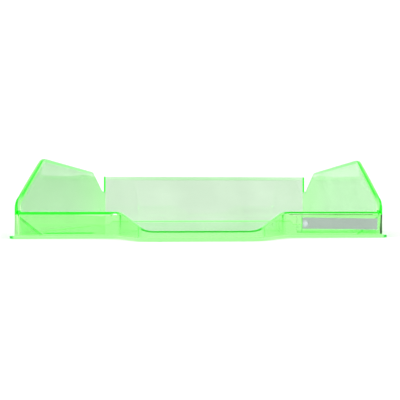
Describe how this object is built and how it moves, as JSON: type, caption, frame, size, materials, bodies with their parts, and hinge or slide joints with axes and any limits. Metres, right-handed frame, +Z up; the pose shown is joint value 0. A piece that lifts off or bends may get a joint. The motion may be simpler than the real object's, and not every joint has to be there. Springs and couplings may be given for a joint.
{
  "type": "letter tray",
  "caption": "Transparent stackable desk tray for paper: flat flanged floor, high sloping side walls, low front with a forward finger scoop, and a label pocket with a slide-out card.",
  "frame": {"origin": "on the table, in the middle of the tray's outline", "axes": "+X to the right as seen from the front, +Y from the front to the rear, +Z up; the front faces -Y"},
  "size_m": [0.255, 0.357, 0.0585],
  "materials": {
    "tray_plastic": "clear green, polished",
    "cover_plastic": "clear pale green, polished",
    "label_card": "grey uncoated card"
  },
  "bodies": {
    "tray": {"floor_panel": "tray_plastic", "left_side_wall": "tray_plastic", "right_side_wall": "tray_plastic", "rear_wall": "tray_plastic", "front_wall_left": "tray_plastic", "front_wall_right": "tray_plastic", "front_lip": "tray_plastic", "left_corner_gusset": "tray_plastic", "right_corner_gusset": "tray_plastic", "feet": "tray_plastic", "label_cover": "cover_plastic"},
    "label": {"label_card": "label_card"}
  },
  "joints": [
    {"name": "label_card_slide", "type": "slide", "parent": "tray", "child": "label", "axis": [1, 0, 0], "range_m": [0, 0.054]}
  ]
}
